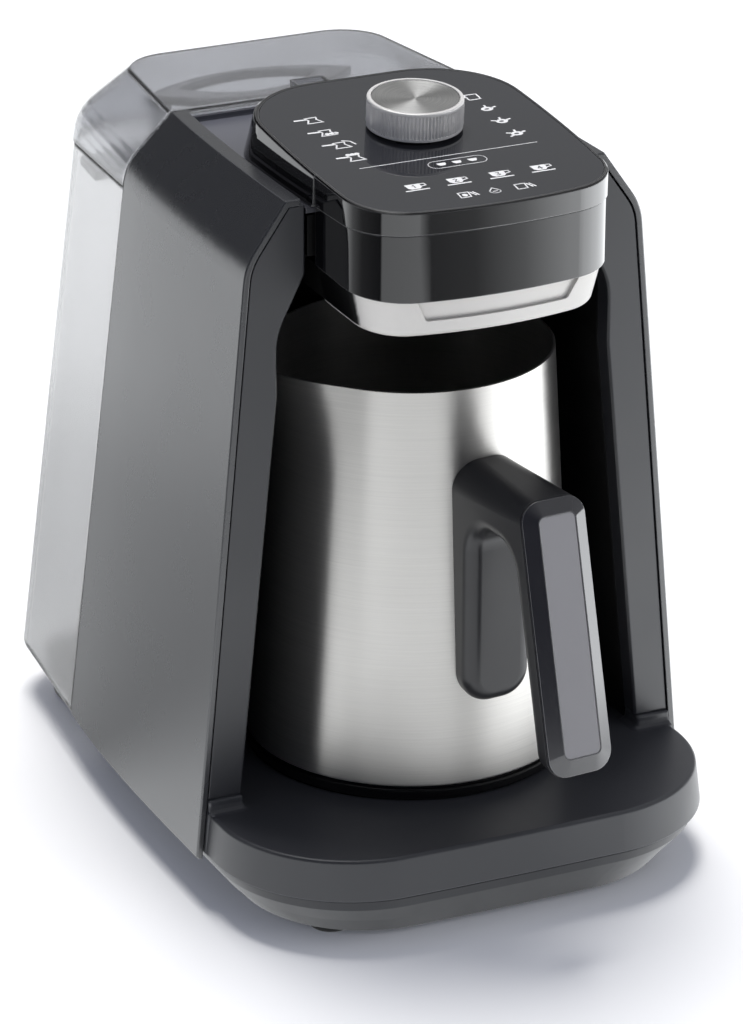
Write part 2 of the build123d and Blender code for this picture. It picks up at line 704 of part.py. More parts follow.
def tank_outline(z, inset, front):
    """Plan section of the tank at height z; front is the depth of its front wall."""
    rear = rear_y(z, 0.0) - inset
    rise = min(1.0, max(0.0, (z - REAR_SHOULDER_Z) / (Z_TOP - REAR_SHOULDER_Z)))
    r = TANK_R + (TANK_R_TOP - TANK_R) * rise - inset
    slope = 3 * PLAN_CUBIC * PLAN_STRAIGHT_Y ** 2
    a = math.atan(slope)

    def edge(y):
        return half_width(z, 0.0, y) - inset / math.cos(a) - plan_drop(y)

    yc = rear - r
    ys = yc + r * math.sin(a)
    xs = edge(ys)
    xc = xs - r * math.cos(a)
    mid = (a + math.pi / 2) / 2
    y_mid = max(front + 8.0, PLAN_STRAIGHT_Y + 4.0)
    p0 = (edge(front), front)
    p1 = (edge((front + y_mid) / 2), (front + y_mid) / 2)
    p2 = (edge(y_mid), y_mid)
    p3 = (xs, ys)
    p4 = (xc + r * math.cos(mid), yc + r * math.sin(mid))
    p5 = (xc, rear)

    def flip(p):
        return (-p[0], p[1])

    edges = [
        Spline(p0, p1, p2),
        Line(p2, p3),
        ThreePointArc(p3, p4, p5),
        Line(p5, flip(p5)),
        ThreePointArc(flip(p5), flip(p4), flip(p3)),
        Line(flip(p3), flip(p2)),
        Spline(flip(p2), flip(p1), flip(p0)),
        Line(flip(p0), p0),
    ]
    return Pos(0, 0, z) * make_face(edges)


def tank_solid(inset, levels, ahead=0.0):
    """Stacked lofts through the levels; ahead moves the front wall forward."""
    faces = [tank_outline(z, inset, panel_rear_y(z) + TANK_GAP + inset - ahead) for z in levels]
    return loft(faces, ruled=True)


def below_parting(step):
    y0 = 80.0
    y1 = 230.0
    pts = [
        (y0, 0.0),
        (y0, PART_Z_FRONT + PART_SLOPE * (y0 - 108.8) + step),
        (y1, PART_Z_FRONT + PART_SLOPE * (y1 - 108.8) + step),
        (y1, 0.0),
    ]
    return side_prism(pts)


def tank_body():
    outer = tank_solid(0.0, [Z_TANK, 228.0])
    low = [e for e in outer.edges() if abs(e.center().Z - Z_TANK) < 1e-3]
    outer = fillet(low, 3.5)
    inner = tank_solid(TANK_WALL, [Z_TANK + 3.0, 230.0])
    tank = (outer - inner) & below_parting(0.0)
    neck = Pos(0, 160, Z_TANK) * Cylinder(6.3, 20.0)
    tank = largest(tank - neck)
    return tank


def tank_valve():
    """Valve housing in the tank's floor with its guide bore."""
    flange = Pos(0, 160, Z_TANK + 4.2) * Cylinder(10.0, 2.0)
    barrel = Pos(0, 160, Z_TANK + 2.2) * Cylinder(6.0, 6.0)
    cage = Pos(0, 160, Z_TANK + 9.2) * (Cylinder(6.0, 8.0) - Cylinder(4.6, 9.0))
    slots = Pos(0, 160, Z_TANK + 8.6) * (Box(14, 3.0, 5.0) + Box(3.0, 14, 5.0))
    body = flange + barrel + (cage - slots)
    return body - Pos(0, 160, Z_TANK + 3.0) * Cylinder(2.05, 30.0)


def valve_plunger():
    stem = Pos(0, 160, Z_TANK + 4.6) * Cylinder(2.0, 10.0)
    disc = Pos(0, 160, Z_TANK + 8.6) * Cylinder(4.2, 1.6)
    return stem + disc


def valve_dock():
    """Socket in the base that the tank's valve stands over."""
    cup = Pos(0, 160, 12.7) * (Cylinder(9.0, 4.6) - Pos(0, 0, 1.2) * Cylinder(7.4, 4.6))
    return cup


def dock_pin():
    return Pos(0, 160, 13.3) * Cylinder(1.6, 3.2)


def tank_filter():
    """Round mesh cup over the valve."""
    x, y, z = 0, 160, Z_TANK + 5.4
    cup = Pos(x, y, z + 9.0) * (Cylinder(12.0, 18.0) - Pos(0, 0, -1.2) * Cylinder(10.8, 18.0))
    slot = Pos(x, y, z + 8.0) * (Box(30, 3.2, 9.0) + Box(3.2, 30, 9.0))
    return cup - slot


def float_guide():
    """Vertical slotted tube that keeps the float against the front wall."""
    x, y = FLOAT_AT
    tube = Pos(x, y, Z_TANK + 52.0) * (Cylinder(11.0, 97.0) - Cylinder(9.4, 98.0))
    slot = Pos(x, y, Z_TANK + 52.0) * Box(30, 5.0, 84.0)
    slot2 = Pos(x, y, Z_TANK + 52.0) * Box(5.0, 30, 84.0)
    return tube - slot - slot2


def tank_float():
    x, y = FLOAT_AT
    body = Pos(x, y, Z_TANK + 3.4 + 9.0) * Cylinder(8.9, 18.0)
    ends = body.edges().filter_by(GeomType.CIRCLE)
    return fillet(ends, 1.2)


def lens_face(half, y_tip, y_front, y_rear):
    """Pointed oval between two arcs."""
    front = ThreePointArc((-half, y_tip), (0, y_front), (half, y_tip))
    rear = ThreePointArc((half, y_tip), (0, y_rear), (-half, y_tip))
    return make_face([front, rear])


def tank_bar():
    """Carrying loop over the tank's mouth, on a crossbar and four posts."""
    z = 214.0
    z_loop = 233.0
    keep = tank_solid(TANK_WALL + 0.1, [Z_TANK + 3.0, 230.0])
    bar = box(-70.5, 70.5, 147, 166, z, z + 3.0) & keep
    loop = extrude(Pos(0, 0, z_loop) * lens_face(40, 163, 146, 176), amount=3.0)
    loop = loop - extrude(Pos(0, 0, z_loop - 1) * lens_face(27, 165, 152, 173), amount=5.0)
    height = z_loop - z
    for x, y, r in ((-34, 163, 2.8), (34, 163, 2.8), (-4, 149.1, 2.2), (4, 149.1, 2.2)):
        bar = bar + Pos(x, y, z + height / 2 + 1) * Cylinder(r, height)
    return largest(bar + loop)


def lid_gasket():
    """Thin dark seal between the tank's rim and the lid."""
    ring = tank_solid(0.15, [212.0, 232.0]) - tank_solid(TANK_WALL, [211.0, 233.0])
    return largest((ring & below_parting(LID_GAP)) - below_parting(0.0))


def tank_lid():
    outer = (tank_solid(0.0, LID_LEVELS) & below_top(-0.1)) - below_parting(LID_GAP)
    inner = tank_solid(LID_T, LID_LEVELS) & below_top(-0.1 - LID_T)
    lid = outer - inner
    window = box(-90, 90, 90, 124, 200, 246.5) & tank_solid(LID_T + 0.01, [200.0, 247.0], 12.0)
    lid = largest(lid - window)
    return lid


def lid_tab():
    """Finger tab at the middle of the lid's front edge."""
    y = 106.4
    z = top_z(y + 8.4) - 0.1
    plate = box(-6.5, 6.5, y, y + 8.4, z, z + 2.6)
    up = [e for e in plate.edges() if abs(e.tangent_at(0.5).Z) > 0.9]
    plate = fillet(up, 1.2)
    hollow = box(-5.2, 5.2, y + 1.2, y + 7.2, z + 0.9, z + 4)
    return plate - hollow - below_top(-0.1)


def cord_gland():
    """Bush where the supply cord leaves the base."""
    sleeve = Pos(40, 194.0, 9.0) * Rot(90, 0, 0) * Cylinder(4.0, 12.0)
    collar = Pos(40, 197.4, 9.0) * Rot(90, 0, 0) * Cylinder(5.6, 3.0)
    return (sleeve + collar) - Pos(40, 196, 9.0) * Rot(90, 0, 0) * Cylinder(2.6, 30.0)


def pot_cone(grow, z0, z1):
    slope = (POT_R_RIM - POT_R_LOW) / (Z_POT_RIM - Z_POT_LOW)
    r0 = POT_R_LOW + slope * (z0 - Z_POT_LOW) + grow
    r1 = POT_R_LOW + slope * (z1 - Z_POT_LOW) + grow
    return Pos(0, 0, (z0 + z1) / 2) * Cone(r0, r1, z1 - z0)


def rim_section(z, grow):
    """Pot section at height z; above SPOUT_Z it bulges to the left into the pouring lip."""
    slope = (POT_R_RIM - POT_R_LOW) / (Z_POT_RIM - Z_POT_LOW)
    r = POT_R_LOW + slope * (z - Z_POT_LOW) + grow
    reach = SPOUT_REACH * ((z - SPOUT_Z) / (Z_POT_RIM - SPOUT_Z)) ** 1.6
    pts = []
    for i in range(48):
        a = math.radians(7.5 * i)
        away = abs(math.degrees(a) - 180.0) / SPOUT_SPREAD
        bulge = reach * math.cos(away * math.pi / 2) ** 2 if away < 1 else 0.0
        pts.append(((r + bulge) * math.cos(a), (r + bulge) * math.sin(a)))
    return Pos(0, 0, z) * make_face(Spline(*pts, periodic=True))


def pot_form(grow, z_low, z_high):
    """Tapered body with the pouring lip blended into its upper part."""
    slope = (POT_R_RIM - POT_R_LOW) / (Z_POT_RIM - Z_POT_LOW)
    r = POT_R_LOW + slope * (SPOUT_Z - Z_POT_LOW) + grow
    start = Pos(0, 0, SPOUT_Z) * make_face(CenterArc((0, 0), r, 0, 360))
    levels = [155.0, 164.0, 173.0, z_high]
    upper = loft([start] + [rim_section(z, grow) for z in levels])
    return pot_cone(grow, z_low, SPOUT_Z) + upper


def pot_body():
    outer = pot_form(0.0, Z_POT_LOW, Z_POT_RIM)
    low = outer.edges().filter_by(GeomType.CIRCLE).sort_by(Axis.Z)[0]
    outer = fillet(low, 0.6)
    inner = pot_form(-POT_WALL, Z_POT_LOW + 1.2, Z_POT_RIM + 1.0)
    return largest(outer - inner)


def pot_base():
    """Dark foot ring under the steel body, with a shadow groove at its top."""
    ring = Pos(0, 0, 36.8) * Cylinder(57.7, 3.8)
    rims = ring.edges().filter_by(GeomType.CIRCLE)
    ring = fillet(rims, 0.7) + Pos(0, 0, 38.9) * Cylinder(56.2, 1.6)
    return ring - Pos(0, 0, 37.4) * Cylinder(50.2, 10.0)


def pot_sole():
    """Steel disc inside the foot ring that touches the hot plate."""
    return Pos(0, 0, 37.3) * Cylinder(49.9, 4.8)


def grip_plane():
    """Plane on the grip's seam: x across, y up along the grip, z outwards from the pot."""
    dh = GRIP_LOW[0] - GRIP_TOP[0]
    dz = GRIP_TOP[1] - GRIP_LOW[1]
    mid_h = (GRIP_LOW[0] + GRIP_TOP[0]) / 2
    mid_z = (GRIP_LOW[1] + GRIP_TOP[1]) / 2
    run = math.hypot(dh, dz)
    normal = (0, -dz / run, dh / run)
    return Plane(origin=(0, -mid_h, mid_z), x_dir=(1, 0, 0), z_dir=normal)


def grip_outline(inset, corner, low_inset=None):
    """Outline of the grip in its own plane, set in by inset, with its foot set in by low_inset."""
    length = math.hypot(GRIP_LOW[0] - GRIP_TOP[0], GRIP_TOP[1] - GRIP_LOW[1]) / 2
    half = GRIP_HALF - inset
    top = length - inset
    low = -length + (inset if low_inset is None else low_inset)
    face = make_face(Polyline((-half, top), (half, top), (half, low), (-half, low), close=True))
    return fillet(face.vertices(), corner)


def grip_frame():
    plane = grip_plane()
    flange = extrude(plane.offset(0.3) * grip_outline(0.2, GRIP_CORNER), amount=1.0)
    bevel = loft([plane.offset(1.3) * grip_outline(0.2, GRIP_CORNER),
                  plane.offset(3.7) * grip_outline(5.0, 2.6, 6.2)], ruled=True)
    seat = extrude(plane.offset(2.7) * grip_outline(5.4, 2.2, 6.6), amount=3.0)
    return (flange + bevel) - seat


def grip_face():
    plane = grip_plane()
    return extrude(plane.offset(2.75) * grip_outline(5.5, 2.1, 6.7), amount=0.8)


def root_outline(inset=0.0):
    width, height = ROOT_SIZE
    return Pos(0, ROOT_Z) * RectangleRounded(width - 2 * inset, height - 2 * inset, ROOT_CORNER - inset)


def finger_gap():
    """Prism through the handle under the arm: a round arch that widens downwards."""
    lean = (GRIP_LOW[0] - GRIP_TOP[0]) / (GRIP_TOP[1] - GRIP_LOW[1])

    def back(z):
        return GRIP_TOP[0] + lean * (GRIP_TOP[1] - z) - GRIP_CORE * math.hypot(1.0, lean)

    pts = [(-ROOT_FACE, 30.0), (-ROOT_FACE, ARCH_Z), (-back(ARCH_Z), ARCH_Z), (-back(30.0), 30.0)]
    prism = side_prism(pts, 40.0)
    arch = [e for e in prism.edges() if e.center().Z > ARCH_Z - 0.1 and abs(e.tangent_at(0.5).X) > 0.9]
    return fillet(arch, ARCH_R)


def pot_handle():
    """Root, arm and grip core in one moulding, hooked over from the root's top."""
    plane = grip_plane()
    hook = loft([Plane.XZ.offset(45) * root_outline(), plane * grip_outline(0.0, GRIP_CORNER)], ruled=True)
    body = hook - finger_gap()
    near_root = [e for e in body.edges() if abs(e.center().Y + ROOT_FACE) < 0.6 and e.center().Z < 128]
    body = fillet([e for e in near_root if e.length > 5], 5.0)
    return largest(body - pot_cone(0.12, 30.0, 190.0))


def screw_bars(radius, depth, length):
    """Two bars along the grip, in its lower end, from the given depth outwards."""
    end = -math.hypot(GRIP_LOW[0] - GRIP_TOP[0], GRIP_TOP[1] - GRIP_LOW[1]) / 2
    plane = grip_plane().offset(-GRIP_CORE / 2)
    group = Part()
    for x in (-3.2, 3.2):
        bar = Rot(90, 0, 0) * Cylinder(radius, length)
        group = group + plane * Pos(x, end + depth - length / 2, 0) * bar
    return group


def handle_screws():
    """Heads of the two screws that hold the grip's inner strap, sunk in its lower end."""
    return screw_bars(1.7, 2.5, 2.0)


def screw_recesses():
    return screw_bars(1.85, 2.6, 4.2)


def place(shape):
    return Pos(0, -CENTRE_Y, 0) * shape


def save(name, shape):
    export_step(place(shape), "parts/" + name + ".step")


def at_pot(shape, turn=0.0):
    return Pos(POT_X, POT_Y, 0) * Rot(0, 0, turn) * shape


def main():
    save("side_panel_left", side_panel(-1))
    save("side_panel_right", side_panel(1))
    save("frame_leg_left", frame_leg(-1))
    save("frame_leg_right", frame_leg(1))
    save("bay_liner", bay_liner())
    save("bulkhead", bulkhead())
    save("base_tray", base_tray())
    save("base_pan", base_pan())
    names = ("front_left", "front_right", "rear_left", "rear_right")
    for name, (x, y) in zip(names, FEET):
        save("foot_" + name, foot(x, y))
    save("pan_screws", pan_screws())
    save("cord_gland", cord_gland())
    save("hot_plate", hot_plate())
    save("plate_ring", plate_ring())
    save("plate_sensor", plate_sensor())
    save("top_deck", top_deck())
    save("head_core", head_core())
    save("head_band", head_band())
    save("head_bezel", head_bezel())
    save("head_shroud", head_shroud())
    save("panel_carrier", panel_carrier())
    save("control_panel", control_panel())
    save("brew_trim", brew_trim())
    save("head_underside", head_underside())
    save("water_nozzle", water_nozzle())
    save("steam_nozzle", steam_nozzle())
    save("foam_sensor", foam_sensor())
    save("knob_bush", knob_bush())
    save("knob_switch", knob_switch())
    save("knob_slider", knob_slider())
    save("knob_shaft", knob_shaft())
    save("knob_ring", knob_ring())
    save("knob_cap", knob_cap())
    save("pot_body", at_pot(pot_body()))
    save("pot_base", at_pot(pot_base()))
    save("pot_sole", at_pot(pot_sole()))
    save("pot_handle", at_pot(pot_handle() - screw_recesses(), HANDLE_TURN))
    save("grip_frame", at_pot(grip_frame(), HANDLE_TURN))
    save("grip_face", at_pot(grip_face(), HANDLE_TURN))
    save("handle_screws", at_pot(handle_screws(), HANDLE_TURN))
    save("tank_body", tank_body())
    save("tank_bar", tank_bar())
    save("tank_valve", tank_valve())
    save("tank_filter", tank_filter())
    save("valve_plunger", valve_plunger())
    save("valve_dock", valve_dock())
    save("dock_pin", dock_pin())
    save("float_guide", float_guide())
    save("tank_float", tank_float())
    save("lid_gasket", lid_gasket())
    save("tank_lid", tank_lid())
    save("lid_tab", lid_tab())


main()
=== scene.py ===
import math

import bmesh
import bpy
from mathutils import Matrix, Vector


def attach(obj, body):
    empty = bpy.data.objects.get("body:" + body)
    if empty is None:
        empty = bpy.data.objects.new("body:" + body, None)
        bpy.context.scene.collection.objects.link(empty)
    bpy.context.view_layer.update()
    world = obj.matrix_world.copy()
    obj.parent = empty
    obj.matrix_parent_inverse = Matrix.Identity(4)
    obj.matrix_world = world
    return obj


# Electric Turkish coffee maker: looks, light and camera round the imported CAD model.
# Metres throughout, apart from the panel's signs, which are drawn in millimetres.
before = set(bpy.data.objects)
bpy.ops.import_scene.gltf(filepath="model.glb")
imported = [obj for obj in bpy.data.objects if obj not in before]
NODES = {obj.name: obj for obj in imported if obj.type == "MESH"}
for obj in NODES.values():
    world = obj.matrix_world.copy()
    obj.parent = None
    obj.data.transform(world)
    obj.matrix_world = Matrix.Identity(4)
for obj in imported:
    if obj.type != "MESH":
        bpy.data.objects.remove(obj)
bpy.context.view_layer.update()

CENTRE_Y = 0.06147  # the CAD source measures depths from the side panels' front edge
HEAD_SLOPE = 0.0711  # rise of the head's top per unit of depth
HEAD_TILT = math.atan(HEAD_SLOPE)
PANEL_Z = 0.2607  # height of the control panel's face at the source's depth 0
KNOB_DEPTH = 0.0257
KNOB_CENTRE = (0.0, KNOB_DEPTH - CENTRE_Y, 0.2608 + HEAD_SLOPE * KNOB_DEPTH)
PLATE_CENTRE = (0.0, 0.0315 - CENTRE_Y, 0.0)

WHITE = (1.0, 1.0, 1.0, 1.0)
NOISE_LOW, NOISE_HIGH = 0.3, 0.7  # nearly all of a noise texture's values lie between these
QUARTER_TURN = 0.25  # of the direction that highlights are drawn out in
METAL_EDGE, CLEAR_EDGE = 0.0003, 0.0005  # radii of the edges that a material rounds
OPEN_FACE, FULL_EDGE = 0.995, 0.80  # cosine of flat to rounded normal, off and on an edge
CLEAR_IOR = 1.49
STEEP_START, STEEP_FULL = 0.90, 0.70  # upward part of the normal where a face counts as steep
FLANK_START, FLANK_FULL = 0.925, 0.95  # sideways part of the normal on the trim's flanks
DISH_SLOPE = 0.018  # fall of the deck's dish per unit of depth
DISH_FLOOR, DISH_RIM = 0.2495, 0.2500  # heights at depth 0 under and over the dish's edge
DISH_FRONT, DISH_BACK = 0.01, 0.09  # depths between which the dish's painted light comes in


# ---------------------------------------------------------------- small helpers

def tone(r, g, b):
    """Linear colour from 0-255 display values."""
    out = []
    for v in (r, g, b):
        c = v / 255.0
        out.append(c / 12.92 if c <= 0.04045 else ((c + 0.055) / 1.055) ** 2.4)
    return (*out, 1.0)


def scaled(colour, factor, lift=0.0):
    """A colour's channels times factor plus lift, held at 1."""
    return tuple(min(1.0, c * factor + lift) for c in colour[:3]) + (1.0,)


def add(tree, kind, inputs=None, **settings):
    """A node with its settings; an input takes a value or another node's output socket."""
    node = tree.nodes.new(kind)
    for key, value in settings.items():
        setattr(node, key, value)
    for key, value in (inputs or {}).items():
        if isinstance(value, bpy.types.NodeSocket):
            tree.links.new(value, node.inputs[key])
        else:
            node.inputs[key].default_value = value
    return node


def new_material(name):
    """An empty node material, its tree, and the object's own coordinates."""
    material = bpy.data.materials.new(name)
    material.use_nodes = True
    tree = material.node_tree
    tree.nodes.clear()
    return material, tree, add(tree, "ShaderNodeTexCoord").outputs["Object"]


def math_node(tree, operation, a, b=0.0, c=0.0):
    return add(tree, "ShaderNodeMath", {0: a, 1: b, 2: c}, operation=operation).outputs[0]


def product(tree, a, b):
    return math_node(tree, "MULTIPLY", a, b)


def total(tree, a, b):
    return math_node(tree, "ADD", a, b)


def xyz(tree, vector):
    """The three components of a vector socket."""
    split = add(tree, "ShaderNodeSeparateXYZ", {0: vector}).outputs
    return split[0], split[1], split[2]


def flat_normal(tree):
    return add(tree, "ShaderNodeNewGeometry").outputs["Normal"]


def spread(tree, value, low, high, out_low, out_high):
    """value moved from low..high to out_low..out_high and held there."""
    node = add(tree, "ShaderNodeMapRange", {0: value, 1: low, 2: high, 3: out_low, 4: out_high})
    return node.outputs[0]


def varied(tree, value, out_low, out_high):
    """A noise value stretched to out_low..out_high."""
    return spread(tree, value, NOISE_LOW, NOISE_HIGH, out_low, out_high)


def mixed(tree, factor, a, b):
    return add(tree, "ShaderNodeMix", {0: factor, 6: a, 7: b}, data_type="RGBA").outputs[2]


def noise(tree, where, scale, detail, rough=0.5, stretch=None):
    if stretch:
        where = add(tree, "ShaderNodeMapping", {"Vector": where, "Scale": stretch}).outputs[0]
    made = add(tree, "ShaderNodeTexNoise",
               {"Vector": where, "Scale": scale, "Detail": detail, "Roughness": rough})
    return made.outputs[0]


def edge_mask(tree, radius):
    """1 on convex and concave edges, 0 on open faces, and the rounded normal."""
    bevel = add(tree, "ShaderNodeBevel", {"Radius": radius}, samples=4).outputs[0]
    dot = add(tree, "ShaderNodeVectorMath", {0: bevel, 1: flat_normal(tree)},
              operation="DOT_PRODUCT")
    return spread(tree, dot.outputs["Value"], OPEN_FACE, FULL_EDGE, 0.0, 1.0), bevel


def bumped(tree, normal, height, strength, distance):
    """normal with a height pattern on it; distance is the height of a full step."""
    return add(tree, "ShaderNodeBump", {"Strength": strength, "Distance": distance,
                                        "Height": height, "Normal": normal}).outputs[0]


def finish_shader(tree, inputs):
    shader = add(tree, "ShaderNodeBsdfPrincipled", inputs)
    add(tree, "ShaderNodeOutputMaterial", {"Surface": shader.outputs[0]})


def finish_grained_metal(tree, inputs):
    """A metal whose highlights are drawn out across its streaks, about the upright axis."""
    tangent = add(tree, "ShaderNodeTangent", direction_type="RADIAL", axis="Z").outputs[0]
    finish_shader(tree, {**inputs, "Anisotropic Rotation": QUARTER_TURN, "Tangent": tangent})


# ---------------------------------------------------------------- kinds of material

def plastic(name, colour, rough, vary, grain, depth, edge, edge_lift, ior, cloud=0.10):
    """Moulded or painted plastic: soft tone clouds, a fine eroded grain, a painted highlight on
    rounded edges.

    vary is how far the roughness strays, grain and depth the eroded pattern's fineness and
    height, edge the edges' radius, edge_lift how much paler their painted highlight is, cloud the
    clouds' strength.
    """
    material, t, where = new_material(name)
    mask, rounded = edge_mask(t, edge)
    soft = noise(t, where, scale=11.0, detail=3.0)
    fine = noise(t, where, scale=grain, detail=2.0)
    smudge = noise(t, where, scale=38.0, detail=5.0, rough=0.6)
    light = scaled(colour, 1 + cloud)
    body = mixed(t, varied(t, soft, 0.0, 1.0), scaled(colour, 1 - cloud), light)
    speck = mixed(t, spread(t, fine, 0.45, 0.75, 0.0, 0.35), body, light)
    finish_shader(t, {
        # the paler edges are a painted highlight
        "Base Color": mixed(t, mask, speck, scaled(colour, edge_lift, lift=0.004)),
        "Roughness": varied(t, smudge, rough - vary, rough + vary),
        "IOR": ior,
        "Normal": bumped(t, rounded, fine, strength=0.5, distance=depth)})
    return material


def gloss(name, colour, rough, ior, edge=0.00045, edge_glow=0.22):
    """Polished plastic or glass: faint waviness, dust in the roughness, a painted highlight on
    rounded edges.
    """
    material, t, where = new_material(name)
    mask, rounded = edge_mask(t, edge)
    wave = noise(t, where, scale=9.0, detail=1.0)
    dust = noise(t, where, scale=900.0, detail=4.0, rough=0.7)
    cloud = mixed(t, varied(t, wave, 0.0, 0.5), colour, scaled(colour, 1.5, lift=0.003))
    finish_shader(t, {
        # the pale edges are a painted highlight
        "Base Color": mixed(t, mask, cloud, scaled(colour, 2, lift=edge_glow)),
        "Roughness": spread(t, dust, 0.55, 0.8, rough, rough + 0.12),
        "IOR": ior,
        "Normal": bumped(t, rounded, wave, strength=0.25, distance=4e-4)})
    return material


def brushed(name, colour, rough, stretch, aniso, strength, metal=1.0, contrast=0.10):
    """Brushed metal: fine streaks in tone, roughness and height, long where stretch is small."""
    material, t, where = new_material(name)
    mask, rounded = edge_mask(t, METAL_EDGE)
    streak = noise(t, where, scale=1.0, detail=5.0, rough=0.72, stretch=stretch)
    broad = noise(t, where, scale=1.0, detail=3.0, rough=0.6,
                  stretch=tuple(s * 0.3 for s in stretch))
    haze = noise(t, where, scale=22.0, detail=3.0)
    light = scaled(colour, 1.0 + contrast * 0.6)
    both = total(t, product(t, streak, 0.75), product(t, broad, 0.25))
    body = mixed(t, spread(t, both, 0.34, 0.66, 0.0, 1.0), scaled(colour, 1.0 - contrast), light)
    finish_grained_metal(t, {
        # edges painted towards the lighter tone, a painted highlight
        "Base Color": mixed(t, product(t, mask, 0.6), body, light),
        "Metallic": metal,
        "Roughness": total(t, varied(t, both, rough - 0.04, rough + 0.04),
                           varied(t, haze, -0.015, 0.015)),
        "Anisotropic": aniso,
        "Normal": bumped(t, rounded, streak, strength=strength, distance=2e-5)})
    return material


def turned_metal(name, colour, centre, tilt, rough, rings):
    """Metal turned on a lathe: rings round an axis through centre, leaning by tilt about x."""
    material, t, where = new_material(name)
    moved = add(t, "ShaderNodeVectorMath", {0: where, 1: centre}, operation="SUBTRACT").outputs[0]
    local = add(t, "ShaderNodeVectorRotate", {"Vector": moved, "Angle": -tilt},
                rotation_type="X_AXIS")
    x, y, _ = xyz(t, local.outputs[0])
    radius = math_node(t, "SQRT", total(t, product(t, x, x), product(t, y, y)))
    angle = math_node(t, "ARCTAN2", y, x)
    ring_at = add(t, "ShaderNodeCombineXYZ",
                  {0: product(t, radius, rings), 1: product(t, angle, 0.7)})
    ring = noise(t, ring_at.outputs[0], scale=1.0, detail=4.0, rough=0.7)
    _, rounded = edge_mask(t, METAL_EDGE)
    finish_grained_metal(t, {
        "Base Color": mixed(t, spread(t, ring, 0.35, 0.65, 0.0, 1.0),
                            scaled(colour, 0.78), scaled(colour, 1.08)),
        "Metallic": 1.0,
        "Roughness": varied(t, ring, rough - 0.05, rough + 0.07),
        "Anisotropic": 0.92,
        "Normal": bumped(t, rounded, ring, strength=0.4, distance=3e-5)})
    return material


def clear_plastic(name, colour, rough, frost=0.06, clarity=1.0, smooth=0.004, wave=0.1, flank=0.0):
    """See-through moulding: tinted, a little hazy, with flow marks and dust in its surface.

    smooth is the radius its edges are rounded by, flank the roughness that steep faces have more.
    """
    material, t, where = new_material(name)
    mask, _ = edge_mask(t, CLEAR_EDGE)
    rounded = add(t, "ShaderNodeBevel", {"Radius": smooth}, samples=6).outputs[0]
    flow = noise(t, where, scale=16.0, detail=2.0, stretch=(1.0, 1.0, 0.35))
    fine = noise(t, where, scale=1800.0, detail=3.0, rough=0.6)
    body = mixed(t, varied(t, flow, 0.0, 1.0), scaled(colour, 0.94), colour)
    _, _, upward = xyz(t, flat_normal(t))
    finish_shader(t, {
        # the darker edges are painted shade
        "Base Color": mixed(t, mask, body, scaled(colour, 0.3)),
        "Roughness": total(t, varied(t, fine, rough, rough + frost),
                           spread(t, upward, STEEP_START, STEEP_FULL, 0.0, flank)),
        "IOR": CLEAR_IOR,
        "Transmission Weight": clarity,
        "Normal": bumped(t, rounded, flow, strength=wave, distance=3e-4)})
    return material


def tint(material, factor, colour):
    """Mixes colour into a finished material's base colour by a factor socket."""
    t = material.node_tree
    shader = next(n for n in t.nodes if n.type == "BSDF_PRINCIPLED")
    base = shader.inputs["Base Color"]
    t.links.new(mixed(t, factor, base.links[0].from_socket, colour), base)


def painted_dish_light(material, colour):
    """Painted light: the deck's sunk dish is painted paler than its rim, most so at the back,
    standing in for the light and reflection it loses in the lid's shadow.
    """
    t = material.node_tree
    _, y, z = xyz(t, add(t, "ShaderNodeTexCoord").outputs["Object"])
    depth = total(t, y, CENTRE_Y)
    height = math_node(t, "MULTIPLY_ADD", depth, DISH_SLOPE, z)
    low = spread(t, height, DISH_FLOOR, DISH_RIM, 1.0, 0.0)
    back = spread(t, depth, DISH_FRONT, DISH_BACK, 0.15, 1.0)
    # painted light mixed into the dish's base colour
    tint(material, product(t, math_node(t, "MULTIPLY_ADD", low, 0.6, 0.4), back), colour)


def dark_flanks(material, colour):
    """Colour that takes over where the surface turns to the side, with a clean edge."""
    t = material.node_tree
    across, _, _ = xyz(t, flat_normal(t))
    side = spread(t, math_node(t, "ABSOLUTE", across), FLANK_START, FLANK_FULL, 0.0, 1.0)
    tint(material, side, colour)


# ---------------------------------------------------------------- the finishes

side_paint = plastic("side_paint", tone(50, 51, 54), rough=0.27, vary=0.01, grain=3000.0,
                     depth=4e-7, edge=0.0006, edge_lift=2.6, ior=1.9, cloud=0.03)
frame_paint = plastic("frame_paint", tone(46, 47, 51), rough=0.36, vary=0.03, grain=2600.0,
                      depth=1e-5, edge=0.0006, edge_lift=2.2, ior=1.7, cloud=0.05)
tray_paint = plastic("tray_paint", tone(55, 56, 60), rough=0.36, vary=0.03, grain=2600.0,
                     depth=1e-5, edge=0.0007, edge_lift=2.6, ior=1.6, cloud=0.05)
deck_paint = plastic("deck_paint", tone(58, 58, 63), rough=0.24, vary=0.03, grain=2600.0,
                     depth=1e-5, edge=0.0005, edge_lift=1.8, ior=1.6, cloud=0.05)
